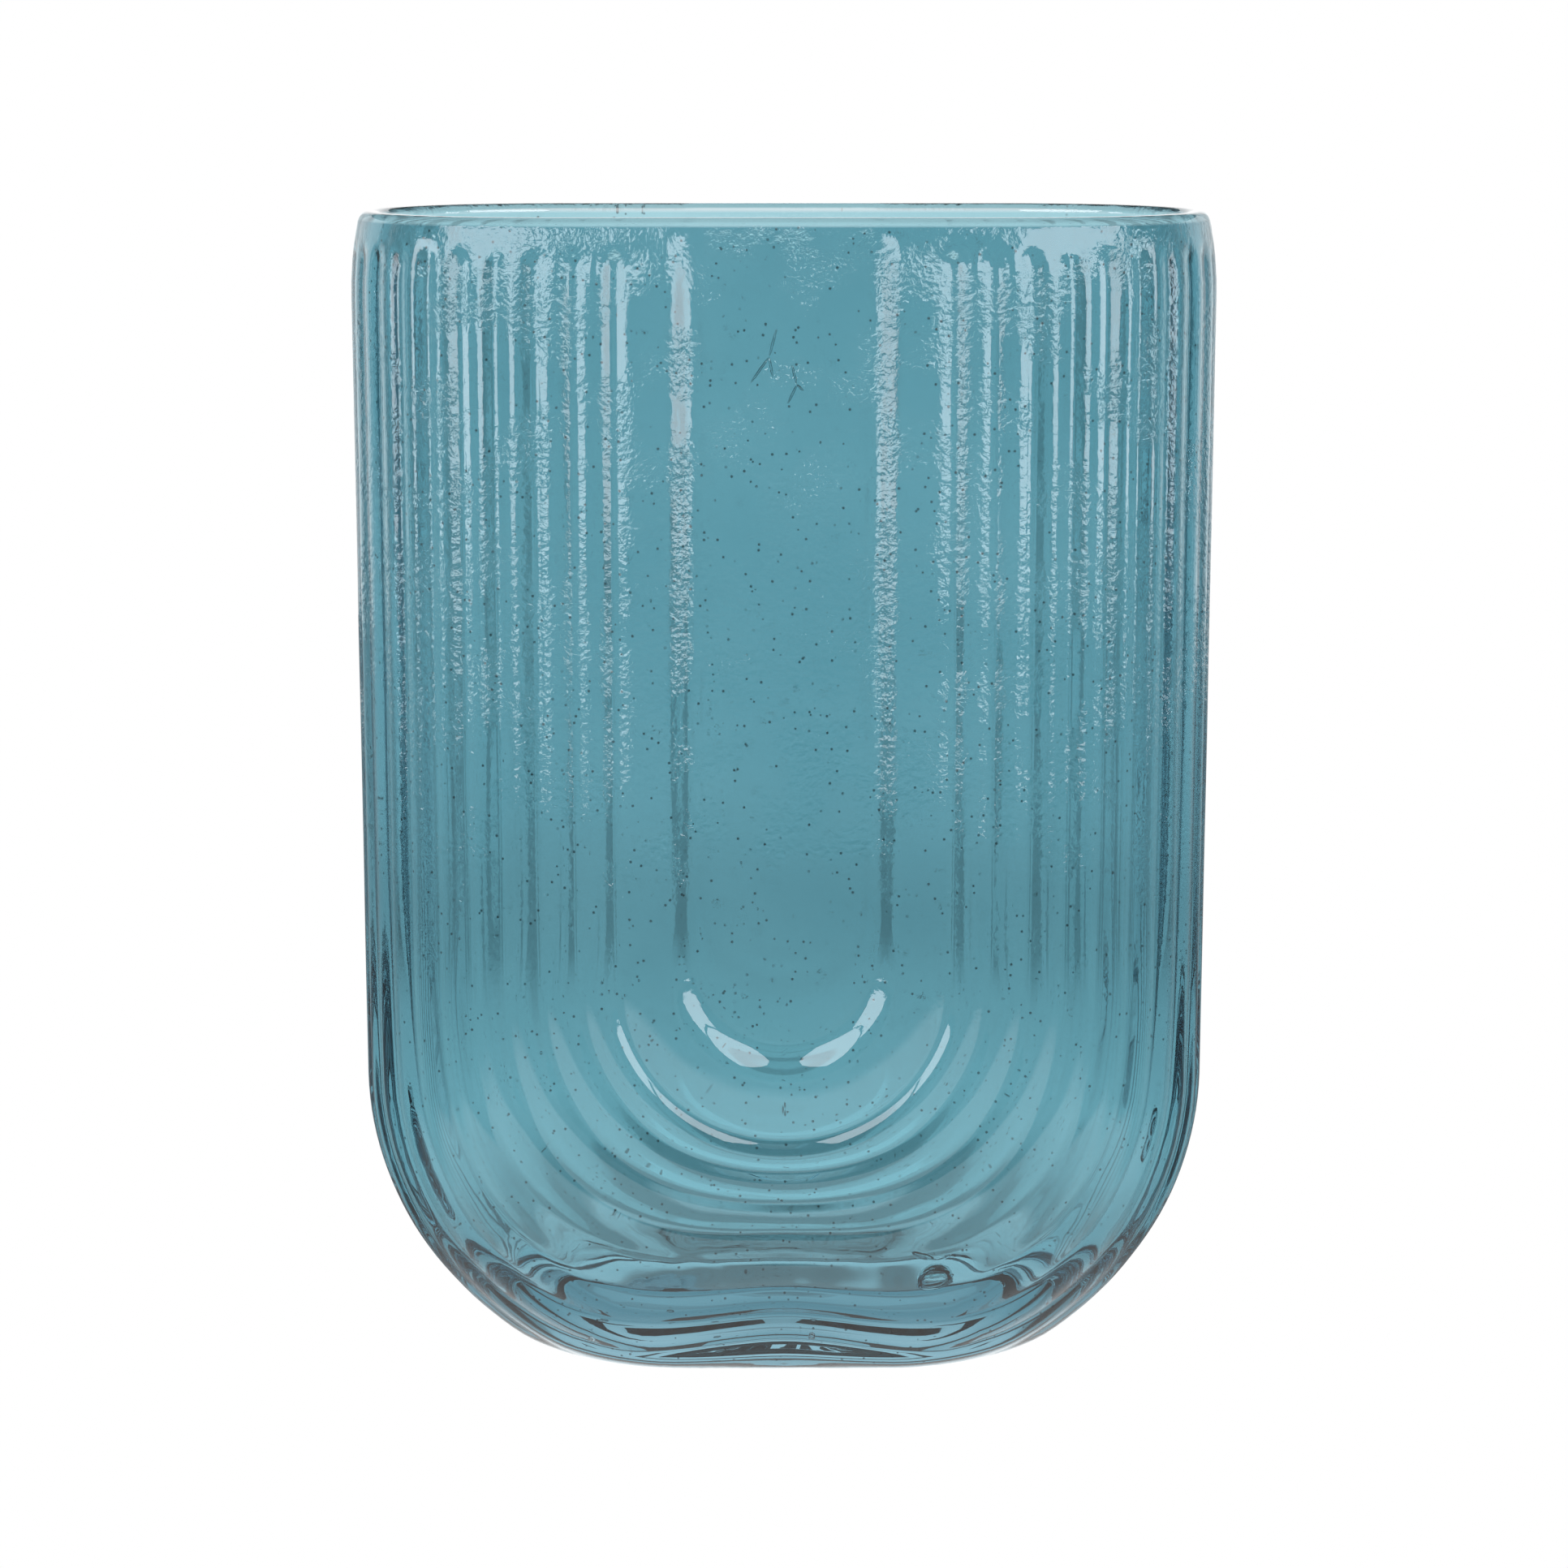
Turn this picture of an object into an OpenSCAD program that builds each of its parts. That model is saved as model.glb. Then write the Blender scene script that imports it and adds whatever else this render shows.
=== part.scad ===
// Flat-oval bud vase in one piece of thick tinted glass.
// Millimetres, +Z up, front panel faces -Y, origin at the middle of the
// underside.  The body is computed as one closed skin: nested U-shaped flutes
// run down the front, turn round the lower corners and climb the other side,
// so every flute is swept by formula instead of being cut out one by one.

/* [Body] */
// Height over the polished rim
height = 200; // [120:1:260]
// Widest part of the body, side to side
body_w = 150; // [100:1:200]
// Thickness of the body, front to back
body_d = 72; // [50:1:100]
// How much narrower the body is at the top of the lower corners, per side
taper = 1.6; // [0:0.1:4]
// How far the shoulder draws in at the rim, per side
shoulder_in = 1.4; // [0:0.1:4]
// Height of the drawn-in shoulder
shoulder_h = 13; // [5:1:25]

/* [Lower corners and foot] */
// Radius of the lower corners seen from the front
corner_r = 56; // [40:0.5:65]
// Height of the centre of that radius
corner_z = 50.2; // [40:0.1:60]
// Radius of the front and back walls as they turn in towards the foot
belly_r = 125; // [80:1:300]
// Rounding where the walls meet the flat foot
foot_r = 4.4; // [0.5:0.1:6]

/* [Centre panel] */
// Half width of the flat panel on the front and the back
panel_hw = 14.8; // [8:0.1:25]
// Width of the bevel round the panel
bevel_w = 5; // [1:0.1:8]
// Height of the centre of the panel's round lower end
panel_z = 73.4; // [50:0.1:100]

/* [Flutes] */
// Distance from the middle of the panel to the first valley
first_valley = 28.6; // [22:0.1:35]
// Height of the centre the flutes turn round
flute_z = 71.3; // [50:0.1:100]
// Distance from the middle of the panel to where the ring round it starts to fall
ring_flat = 20; // [18:0.1:24]
// Depth of the first valley, at the outer edge of that ring
ring_drop = 1; // [0.2:0.05:2]
// Number of flutes from the first valley to the side seam
flutes = 10; // [6:1:14]
// Depth of the valleys between two flutes
flute_depth = 0.68; // [0.1:0.01:1.5]
// How much closer the flutes sit under the panel
squeeze = 0.2; // [0:0.01:0.5]
// Plain band left between the rim and the flutes
plain_band = 4; // [3:0.5:20]
// Length over which the flutes rise out of the plain band
fade = 4.5; // [2:0.5:15]

/* [Walls] */
// Wall thickness at the rim
wall = 4.2; // [2:0.1:8]
// Wall thickness just above the base
wall_low = 7.5; // [3:0.1:12]
// Thickness of the glass under the hollow
base_t = 16; // [8:0.5:24]
// Rounding of the inside bottom
inner_r = 9; // [3:0.5:15]
// Polished rounding of both edges of the rim
rim_r = 1.6; // [0.2:0.1:2]

/* [Mesh] */
// Steps across each flute
per_flute = 4; // [2:2:8]
// Steps round each lower corner
turns = 12; // [8:1:30]

/* [Hidden] */
half_w = body_w / 2;
half_d = body_d / 2;
quarter = (half_w - half_d) + half_d * PI / 2;  // middle of the panel to the seam
pitch = (quarter - first_valley) / flutes;
shoulder_z = height - shoulder_h - 1;
blend_in = 15;     // the centre of the turns is the panel's within this radius,
blend_out = 24;    // and the flutes' beyond this one
thick_z = 15;      // the walls of the hollow have their low thickness up to here,
thin_z = 90;       // and their rim thickness from here
foot_fade = 5;     // height over which the flutes rise out of the flat foot
search_r = 140;    // longer than any ray from the centre of the turns to the skin
end_gap = 0.6;     // a step closer than this to the end of a ray is left out

function clamp(v, lo, hi) = min(hi, max(lo, v));
function ease(v) = let (c = clamp(v, 0, 1)) c * c * (3 - 2 * c);
function arc_in(r, d) = r - sqrt(max(0, r * r - d * d));

// Half width and half depth of the plain body at height z
function foot_in(z) = z < foot_r ? arc_in(foot_r, foot_r - z) : 0;
function shoulder(z) = shoulder_in * pow(clamp((z - shoulder_z) / shoulder_h, 0, 1), 2);
function half_width(z) = (z > corner_z
    ? half_w - taper * clamp((shoulder_z - z) / (shoulder_z - corner_z), 0, 1)
    : half_w - taper - arc_in(corner_r, corner_z - z)) - shoulder(z) - foot_in(z);
function half_depth(z) = half_d
    - (z < corner_z ? arc_in(belly_r, corner_z - z) : 0) - shoulder(z) - foot_in(z);

// Depth of the plain skin at a place seen from the front (positive forwards)
function skin_y(x, z) = let (t = half_depth(z), e = abs(x) - (half_width(z) - t))
    e <= 0 ? t : sqrt(max(0, t * t - e * e));
// Outward direction of the plain section at that place
function skin_n(x, z) = let (t = half_depth(z), e = abs(x) - (half_width(z) - t))
    e <= 0 ? [0, -1] : let (s = min(1, e / t)) [sign(x) * s, -sqrt(1 - s * s)];

// Outward direction of the plain body there, with its slope up and down
function slope(f) = (f[1] - f[0]) / 0.2;
function skin_n3(x, z) = let (n = skin_n(x, z),
    da = slope([half_width(z - 0.1), half_width(z + 0.1)]),
    dt = slope([half_depth(z - 0.1), half_depth(z + 0.1)]),
    v = [n[0], n[1], -((da - dt) * abs(n[0]) + dt)]) v / norm(v);

// Distance over the skin from the middle of the panel
function curl(y) = let (p = acos(clamp(y / half_d, 0, 1))) half_d * (p * PI / 180 - sin(p));
function centre_z(r) = flute_z
    + (panel_z - flute_z) * ease((blend_out - r) / (blend_out - blend_in));
function down(x, z) = let (d = max(0, centre_z(norm([x, flute_z - z])) - z),
    under = d < 0.01 ? 0 : pow(d / norm([x, d]), 3))
    d + squeeze * under * max(0, d - first_valley);
function plain_reach(x, z) = norm([x, down(x, z)]) + curl(skin_y(x, z));
side_scale = quarter / plain_reach(half_width(flute_z), flute_z);
function reach(x, z) = side_scale * plain_reach(x, z);

// Depth of the finished skin under the plain body, across the flutes.  The panel
// is flush with the drawn-in band under the rim, so it lies deeper as the shoulder
// swells; the ring round it falls to the first valley, and each flute is rounded.
function panel(w, z) = (shoulder_in - shoulder(z)) * min(1, (panel_hw + bevel_w - w) / bevel_w);
function ring(w) = ring_drop * pow(clamp((w - ring_flat) / (first_valley - ring_flat), 0, 1), 3);
function flute(w) = flute_depth * (1 - abs(sin(180 * (w - first_valley) / pitch)))
    + (ring_drop - flute_depth) * pow(clamp(1 - (w - first_valley) / pitch, 0, 1), 2);
function relief(w, z) = -ease(z / foot_fade) * (w < panel_hw + bevel_w ? panel(w, z)
    : (w < first_valley ? ring(w) : flute(w)) * ease((height - plain_band - z) / fade));

// Steps from the middle of the panel to the seam
steps = concat(
    [0, panel_hw / 2],
    [for (i = [0:2]) panel_hw + bevel_w * i / 2],
    [for (i = [1:3]) panel_hw + bevel_w + (first_valley - panel_hw - bevel_w) * i / 4],
    [for (i = [0:flutes * per_flute]) first_valley + pitch * i / per_flute]);
last = len(steps) - 1;

// Upper part: level rows from the rim to the centre the flutes turn round
top = height - plain_band;
levels = [height, height - rim_r * 0.3, height - rim_r, top, top - fade * 0.35,
    top - fade * 0.65, top - fade, shoulder_z, flute_z];
function rim_in(z) = arc_in(rim_r, max(0, z - height + rim_r));
function level_point(w, z) =
    let (a = half_width(z), t = half_depth(z), l = a - t,
         s = w * (l + t * PI / 2) / quarter,
         p = s <= l ? 0 : min(90, (s - l) / t * 180 / PI),
         d = relief(w, z) - rim_in(z))
    w > quarter - 0.001 ? [a + d, 0, z]
    : [(s <= l ? s : l + t * sin(p)) + d * sin(p), -(t + d) * cos(p), z];

// Lower part: rays fan out below that centre, down to the seam or the foot
foot_a = half_width(0);
foot_t = half_depth(0);
foot_l = foot_a - foot_t;
tip_turn = atan(flute_z / foot_a);
foot_x = concat([for (k = [1:5]) foot_l + foot_t * cos(18 * k)],
    [for (k = [1:3]) foot_l * (1 - k / 3)]);
rays = concat([for (k = [1:turns]) tip_turn * k / turns],
    [for (x = foot_x) 90 - atan(x / flute_z)]);
function ray(r, al) = [r * cos(al), flute_z - r * sin(al)];
function inside(p) = p[1] >= 0 && p[0] <= half_width(max(0, p[1]));
function ray_end(al, lo = 0, hi = search_r, n = 26) = al > tip_turn - 0.01 ? flute_z / sin(al)
    : n == 0 ? lo
    : let (m = (lo + hi) / 2) inside(ray(m, al)) ? ray_end(al, m, hi, n - 1) : ray_end(al, lo, m, n - 1);
function ray_at(w, al, lo, hi, n = 18) = n == 0 ? (lo + hi) / 2
    : let (m = (lo + hi) / 2, p = ray(m, al))
      reach(p[0], p[1]) < w ? ray_at(w, al, m, hi, n - 1) : ray_at(w, al, lo, m, n - 1);

// Flutes keep their count at the seam, so the outer ones widen a little there
hold = 40;  // flutes nearer than this keep their width everywhere
function widen(end_w) = max(1, (end_w - hold) / (quarter - hold));
tip_g = widen(reach(foot_a, 0));
function widen_at(k, we) = k < turns ? widen(we)
    : 1 + (tip_g - 1) * (1 - ease((rays[k] - tip_turn) / (90 - tip_turn)));
function spread(w, g) = w < hold ? w : hold + (w - hold) * g;
function low_point(w, p) =
    let (n = skin_n3(p[0], p[1]), d = relief(w, p[1]))
    [p[0] + d * n[0], -skin_y(p[0], p[1]) + d * n[1], max(0, p[1] + d * n[2])];
function low_end(al, k, end) = k < turns - 1 ? let (p = low_point(quarter, ray(end, al))) [p[0], 0, p[2]]
    : k == turns - 1 ? [foot_a, 0, 0]
    : let (x = foot_x[k - turns]) [x, -skin_y(x, 0), 0];
function low_row(k) =
    let (al = rays[k], end = ray_end(al), pe = ray(end, al), we = reach(pe[0], pe[1]), g = widen_at(k, we))
    concat([level_point(0, flute_z)],
        [for (j = [1:last - 1]) let (w = spread(steps[j], g))
            if (w < we - end_gap) low_point(steps[j], ray(ray_at(w, al, 0, end), al))],
        [low_end(al, k, end)]);

// The hollow: smooth, thicker glass low down, round at the bottom
in_cols = last / 4;
function wall_at(z) = wall + (wall_low - wall) * ease((thin_z - z) / (thin_z - thick_z));
function in_round(z) = z < base_t + inner_r ? arc_in(inner_r, base_t + inner_r - z) : 0;
in_levels = concat([height, height - rim_r * 0.3, height - rim_r, height - 12, 140, 90, 72, 56, 44, 34],
    [for (i = [0:5]) base_t + inner_r * (1 - sin(18 * i))]);
function in_point(u, z) =
    let (g = wall_at(z) + in_round(z) - rim_in(z),
         a = half_width(z) - g, t = half_depth(z) - g, l = a - t,
         s = u * (l + t * PI / 2), p = s <= l ? 0 : min(90, (s - l) / t * 180 / PI))
    u > 0.9999 ? [a, 0, z] : [s <= l ? s : l + t * sin(p), -t * cos(p), z];

// One quarter of the skin as points, then mirrored twice.  Low rows that reach
// the foot early are shorter, and their last point stands in for the rest.
out_rows = concat([for (z = levels) [for (w = steps) level_point(w, z)]],
    [for (k = [0:len(rays) - 1]) low_row(k)]);
in_rows = [for (z = in_levels) [for (j = [0:in_cols]) in_point(steps[4 * j] / quarter, z)]];
n_out = len(out_rows);
n_in = len(in_rows);
n_lev = len(levels);
row_end = [for (r = out_rows) len(r) - 1];
row_start = [for (i = 0, c = 0; i <= n_out; c = c + (i < n_out ? len(out_rows[i]) : 0), i = i + 1) c];
quarter_pts = concat([for (r = out_rows) each r], [for (r = in_rows) each r]);
function o(i, j) = row_start[i] + min(j, row_end[i]);
function n(i, j) = row_start[n_out] + i * (in_cols + 1) + j;
function real(f) = f[0] != f[1] && f[1] != f[2] && f[2] != f[0];
quarter_faces = concat(
    [for (i = [0:n_out - 2]) for (j = [0:last - 1])
        let (pole = i >= n_lev - 1 && j == 0,
             f = [[o(i, j), o(i, j + 1), o(i + 1, j + 1)], [o(i, j), o(i + 1, j + 1), o(i + 1, j)]])
        each [for (m = [0:pole ? 0 : 1]) if (real(f[m])) f[m]]],
    [for (i = [0:n_in - 2]) for (j = [0:in_cols - 1])
        each [[n(i + 1, j + 1), n(i, j + 1), n(i, j)], [n(i + 1, j), n(i + 1, j + 1), n(i, j)]]],
    [for (j = [0:in_cols - 1]) each concat(
        [for (m = [4 * j:4 * j + 3]) [o(0, m + 1), o(0, m), n(0, j)]],
        [[n(0, j), n(0, j + 1), o(0, 4 * j + 4)]])]);
size = len(quarter_pts);
sides = [[1, 1], [-1, 1], [-1, -1], [1, -1]];
function flip(f) = [for (i = [len(f) - 1:-1:0]) f[i]];

// The flat foot and the flat bottom of the hollow, each fanned from its middle
foot0 = n_lev - 1 + turns;
function loop(a, b, step) = [for (k = [a:step:b]) k];
foot = concat(
    [for (k = loop(n_out - 1, foot0, -1)) o(k, last)],
    [for (k = loop(foot0 + 1, n_out - 1, 1)) 3 * size + o(k, last)],
    [for (k = loop(n_out - 2, foot0, -1)) 2 * size + o(k, last)],
    [for (k = loop(foot0 + 1, n_out - 2, 1)) size + o(k, last)]);
floor_loop = concat(
    [for (j = [0:in_cols]) n(n_in - 1, j)],
    [for (j = [in_cols - 1:-1:0]) 3 * size + n(n_in - 1, j)],
    [for (j = [1:in_cols]) 2 * size + n(n_in - 1, j)],
    [for (j = [in_cols - 1:-1:1]) size + n(n_in - 1, j)]);
function fan(middle, round) = [for (i = [0:len(round) - 1])
    [middle, round[i], round[(i + 1) % len(round)]]];

module glass_body() {
    color([0.36, 0.62, 0.68, 0.6])
        polyhedron(
            points = concat(
                [for (q = sides) for (p = quarter_pts) [q[0] * p[0], q[1] * p[1], p[2]]],
                [[0, 0, 0], [0, 0, base_t]]),
            faces = concat(
                [for (k = [0:3]) for (f = quarter_faces)
                    [for (v = (k % 2 == 0 ? f : flip(f))) v + k * size]],
                fan(4 * size, foot), fan(4 * size + 1, flip(floor_loop))),
            convexity = 6);
}

glass_body();
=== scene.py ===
import math

import bpy
import numpy as np
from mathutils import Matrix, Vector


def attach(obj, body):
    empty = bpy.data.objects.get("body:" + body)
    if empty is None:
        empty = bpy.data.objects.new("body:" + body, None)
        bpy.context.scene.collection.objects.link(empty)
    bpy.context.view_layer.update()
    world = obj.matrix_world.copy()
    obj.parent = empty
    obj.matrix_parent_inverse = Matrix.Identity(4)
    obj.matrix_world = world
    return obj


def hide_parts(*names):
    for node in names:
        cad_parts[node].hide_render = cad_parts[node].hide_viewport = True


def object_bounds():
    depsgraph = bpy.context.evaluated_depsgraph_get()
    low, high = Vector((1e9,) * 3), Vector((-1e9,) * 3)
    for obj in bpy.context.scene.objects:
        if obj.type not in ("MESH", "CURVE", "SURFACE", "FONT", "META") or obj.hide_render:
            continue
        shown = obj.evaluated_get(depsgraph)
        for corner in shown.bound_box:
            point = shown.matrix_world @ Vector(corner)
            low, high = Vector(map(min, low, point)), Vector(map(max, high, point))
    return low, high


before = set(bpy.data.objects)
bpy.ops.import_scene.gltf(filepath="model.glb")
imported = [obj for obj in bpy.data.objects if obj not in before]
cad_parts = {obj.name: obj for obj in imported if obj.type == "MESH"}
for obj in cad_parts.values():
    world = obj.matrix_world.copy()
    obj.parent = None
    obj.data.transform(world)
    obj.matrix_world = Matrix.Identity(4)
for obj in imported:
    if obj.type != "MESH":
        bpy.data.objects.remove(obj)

cad_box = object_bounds()

# ---------------------------------------------------------------- the shape
# Millimetres here, metres in the mesh. The same formulas as the CAD part, on a
# finer grid, plus the small unevenness of moulded glass. The front is at -y.
HEIGHT, HALF_W, HALF_D = 200.0, 75.0, 36.0
TAPER, SHOULDER_IN, SHOULDER_H = 1.6, 1.4, 13.0
CORNER_R, CORNER_Z, BELLY_R, FOOT_R = 56.0, 50.2, 125.0, 4.4
PANEL_HW, BEVEL_W, BEVEL_CURVE, PANEL_Z = 14.8, 5.0, 0.05, 73.4
RING_FLAT, RING_DROP = 20.0, 1.0
FIRST, FLUTE_Z, FLUTES, DEPTH, SQUEEZE = 28.6, 71.3, 10, 0.68, 0.2
VALLEY_SOFT = 0.08                  # rounds the bottom of the valleys between flutes
BLEND_IN, BLEND_OUT = 15.0, 24.0    # radii between which the turns' centre moves
PLAIN, FADE, FOOT_FADE, HOLD = 4.0, 4.5, 5.0, 40.0
WALL, WALL_LOW, BASE_T, INNER_R, RIM_R = 4.2, 7.5, 16.0, 9.0, 1.6
THICK_Z, THIN_Z = 15.0, 90.0        # heights between which the wall thins
QUARTER = (HALF_W - HALF_D) + HALF_D * math.pi / 2
PITCH = (QUARTER - FIRST) / FLUTES
SHOULDER_Z = HEIGHT - SHOULDER_H - 1
BAND_Z = HEIGHT - PLAIN - FADE      # the flutes are at full depth below this

# Steps of the grid
PANEL_STEPS, BEVEL_STEPS, RING_STEPS, FLUTE_STEPS = 6, 7, 11, 8
RIM_STEPS, BAND_STEPS, WALL_STEPS = 6, 11, 36
TURN_STEPS, FOOT_ROUND_STEPS, FOOT_FLAT_STEPS = 40, 12, 7
HOLLOW_RIM_STEPS, HOLLOW_WALL_STEPS, HOLLOW_ROUND_STEPS = 4, 33, 8
SLOPE_STEP = 0.1                    # half the height that a slope is measured over
SEARCH_R, HALVINGS, END_GAP = 140.0, 34, 0.35
WELD = 1e4                          # points are welded to 1/WELD mm
SHARP_ANGLE = 40
RIM_MARGIN = 0.01                   # the coat stops this far over the rim's round edge

# Unevenness in mm, and (height where it fades out, height that the fade takes)
SKIN_DIP, SKIN_WAVE, SKIN_TOP, SKIN_FOOT = 0.045, 0.022, (HEIGHT - 1.5, 6), (1, 8)
LOW_DIP, LOW_SHARE, LOW_TOP, LOW_FOOT = 0.06, 0.4, (26, 12), (1, 6)
HOLLOW_WAVE, HOLLOW_TOP = 0.11, (HEIGHT - 3, 20)
SWELL_WAVE, SWELL_TOP, FLOOR_MARGIN = 0.17, (42, 20), 0.5


def ease(v):
    c = np.clip(v, 0, 1)
    return c * c * (3 - 2 * c)


def above(z, start, over):
    """0 up to a start, then smoothly up to 1 over the next stretch."""
    return ease((z - start) / over)


def below(z, end, over):
    """1 at first, then smoothly down to 0 over the last stretch before an end."""
    return ease((end - z) / over)


def arc_in(r, d):
    """How far a round of radius r has drawn in at a distance d past its start."""
    return r - np.sqrt(np.maximum(0, r * r - d * d))


def foot_in(z):
    return np.where(z < FOOT_R, arc_in(FOOT_R, FOOT_R - z), 0)


def shoulder(z):
    return SHOULDER_IN * np.clip((z - SHOULDER_Z) / SHOULDER_H, 0, 1) ** 2


def half_width(z):
    up = HALF_W - TAPER * np.clip((SHOULDER_Z - z) / (SHOULDER_Z - CORNER_Z), 0, 1)
    low = HALF_W - TAPER - arc_in(CORNER_R, np.maximum(CORNER_Z - z, 0))
    return np.where(z > CORNER_Z, up, low) - shoulder(z) - foot_in(z)


def half_depth(z):
    return HALF_D - arc_in(BELLY_R, np.maximum(CORNER_Z - z, 0)) - shoulder(z) - foot_in(z)


def wall_at(z):
    return WALL + (WALL_LOW - WALL) * below(z, THIN_Z, THIN_Z - THICK_Z)


def skin_y(x, z):
    """Depth of the plain body's skin at a place seen from the front."""
    deep = half_depth(z)
    past_flat = np.maximum(0, np.abs(x) - (half_width(z) - deep))
    return np.sqrt(np.maximum(0, deep * deep - past_flat * past_flat))


def skin_normal(x, z):
    """Outward normal of the plain body's front at a place seen from the front."""
    deep = half_depth(z)
    past_flat = np.maximum(0, np.abs(x) - (half_width(z) - deep))
    s = np.minimum(1, past_flat / deep)
    z_up, z_down = z + SLOPE_STEP, z - SLOPE_STEP
    widening = (half_width(z_up) - half_width(z_down)) / (2 * SLOPE_STEP)
    deepening = (half_depth(z_up) - half_depth(z_down)) / (2 * SLOPE_STEP)
    v = np.stack([s, -np.sqrt(1 - s * s), -((widening - deepening) * s + deepening)], -1)
    return v / np.linalg.norm(v, axis=-1, keepdims=True)


def curl(y):
    """Extra way along the skin where it turns away from the front."""
    p = np.arccos(np.clip(y / HALF_D, 0, 1))
    return HALF_D * (p - np.sin(p))


def plain_reach(x, z):
    """Way along the skin from the panel's middle line, or from its lower end's centre."""
    r = np.hypot(x, FLUTE_Z - z)
    centre_z = FLUTE_Z + (PANEL_Z - FLUTE_Z) * below(r, BLEND_OUT, BLEND_OUT - BLEND_IN)
    d = np.maximum(0, centre_z - z)
    under = (d / np.maximum(np.hypot(x, d), 1e-6)) ** 3
    down = d + SQUEEZE * under * np.maximum(0, d - FIRST)
    return np.hypot(x, down) + curl(skin_y(x, z))


SIDE = QUARTER / float(plain_reach(half_width(FLUTE_Z), FLUTE_Z))


def reach(x, z):
    return SIDE * plain_reach(x, z)


def relief(w, z):
    """How far the finished skin lies over the plain body, w from the panel's middle."""
    u = np.clip((w - PANEL_HW) / BEVEL_W, 0, 1)
    grow = 1 - shoulder(z) / SHOULDER_IN
    bevel = u - BEVEL_CURVE * np.sin(2 * np.pi * u)
    panel = -SHOULDER_IN * (1 - bevel) * grow * above(z, 0, FOOT_FADE)
    ring = -RING_DROP * np.clip((w - RING_FLAT) / (FIRST - RING_FLAT), 0, 1) ** 3
    s = np.abs(np.sin(np.pi * (w - FIRST) / PITCH))
    soft_top = math.sqrt(1 + VALLEY_SOFT * VALLEY_SOFT) - VALLEY_SOFT
    s = (np.sqrt(s * s + VALLEY_SOFT * VALLEY_SOFT) - VALLEY_SOFT) / soft_top
    drop = (RING_DROP - DEPTH) * np.clip(1 - (w - FIRST) / PITCH, 0, 1) ** 2
    flute = -DEPTH * (1 - s) - drop
    h = np.where(w < FIRST, ring, flute) * below(z, HEIGHT - PLAIN, FADE) * above(z, 0, FOOT_FADE)
    return np.where(w < PANEL_HW + BEVEL_W, panel, h)


rng = np.random.default_rng(11)


def waves(count, shortest, longest, stretch):
    """Smooth unevenness: sines of random direction, longer up and down by stretch."""
    k = 2 * np.pi / rng.uniform(shortest, longest, count)
    a = rng.uniform(0, 2 * np.pi, count)
    tall = k * rng.uniform(-1, 1, count) / stretch
    directions = np.stack([k * np.cos(a), k * np.sin(a), tall], -1)
    phases = rng.uniform(0, 2 * np.pi, count)
    return lambda p: np.sin(p @ directions.T + phases).sum(-1) / math.sqrt(count)


wave_out = waves(14, 9, 26, 2.2)
wave_in = waves(16, 12, 40, 3.0)
wave_low = waves(14, 6, 15, 1.2)

# Steps from the middle of the panel to the seam, as way along the skin
BEVEL_END = PANEL_HW + BEVEL_W
steps = np.concatenate([
    np.linspace(0, PANEL_HW, PANEL_STEPS + 1)[:-1],
    PANEL_HW + BEVEL_W * np.arange(BEVEL_STEPS) / BEVEL_STEPS,
    BEVEL_END + (FIRST - PANEL_HW - BEVEL_W) * np.arange(RING_STEPS) / RING_STEPS,
    FIRST + PITCH * np.arange(FLUTES * FLUTE_STEPS + 1) / FLUTE_STEPS])
LAST = len(steps) - 1


# The front right quarter, in rows from the middle of the panel to the seam


def level_row(wide, deep, over, z):
    """A row at one height, over mm outside an oval of half width wide, half depth deep."""
    flat = wide - deep
    s = steps * (flat + deep * np.pi / 2) / QUARTER
    p = np.clip((s - flat) / deep, 0, np.pi / 2)
    x = np.where(s <= flat, s, flat + deep * np.sin(p)) + over * np.sin(p)
    y = -(deep + over) * np.cos(p)
    x[0], y[-1] = 0, 0
    return np.stack([x, y, np.full_like(x, z)], -1)


def skin_row(z, inset=0.0):
    return level_row(half_width(z), half_depth(z), relief(steps, z) - inset, z)


def hollow_row(z, inset=0.0):
    """A row of the hollow; inset is how far the rim's round edge has opened it out."""
    wall = float(wall_at(z) + arc_in(INNER_R, max(BASE_T + INNER_R - z, 0))) - inset
    return level_row(float(half_width(z)) - wall, float(half_depth(z)) - wall, 0, z)


def rim_edge(count):
    """(height, inset) round a rounded edge of the rim, from the top down."""
    turns = [math.pi / 2 * k / count for k in range(count + 1)]
    return [(HEIGHT - RIM_R * (1 - math.cos(a)), RIM_R * (1 - math.sin(a))) for a in turns]


skin = [skin_row(z, inset) for z, inset in rim_edge(RIM_STEPS)]
skin += [skin_row(z) for z in np.linspace(HEIGHT - RIM_R, BAND_Z, BAND_STEPS + 1)[1:]]
skin += [skin_row(z) for z in np.linspace(BAND_Z, FLUTE_Z, WALL_STEPS + 1)[1:]]
LEVELS = len(skin)
panel_end = skin[-1][:1]

# Below FLUTE_Z the rows are rays, seen from the front, from the panel's end
FOOT_A, FOOT_T = float(half_width(0.0)), float(half_depth(0.0))
FOOT_FLAT = FOOT_A - FOOT_T
TIP = math.atan(FLUTE_Z / FOOT_A)
foot_turn = np.pi / 2 * np.arange(1, FOOT_ROUND_STEPS + 1) / FOOT_ROUND_STEPS
foot_x = np.concatenate([
    FOOT_FLAT + FOOT_T * np.cos(foot_turn),
    FOOT_FLAT * (1 - np.arange(1, FOOT_FLAT_STEPS + 1) / FOOT_FLAT_STEPS)])
angles = np.concatenate([
    TIP * np.arange(1, TURN_STEPS + 1) / TURN_STEPS,
    np.pi / 2 - np.arctan(foot_x / FLUTE_Z)])


def ray(r, angle):
    return r * np.cos(angle), FLUTE_Z - r * np.sin(angle)


def reach_along(r, angle):
    x, z = ray(r, angle)
    return reach(x, np.maximum(z, 0))


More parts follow.
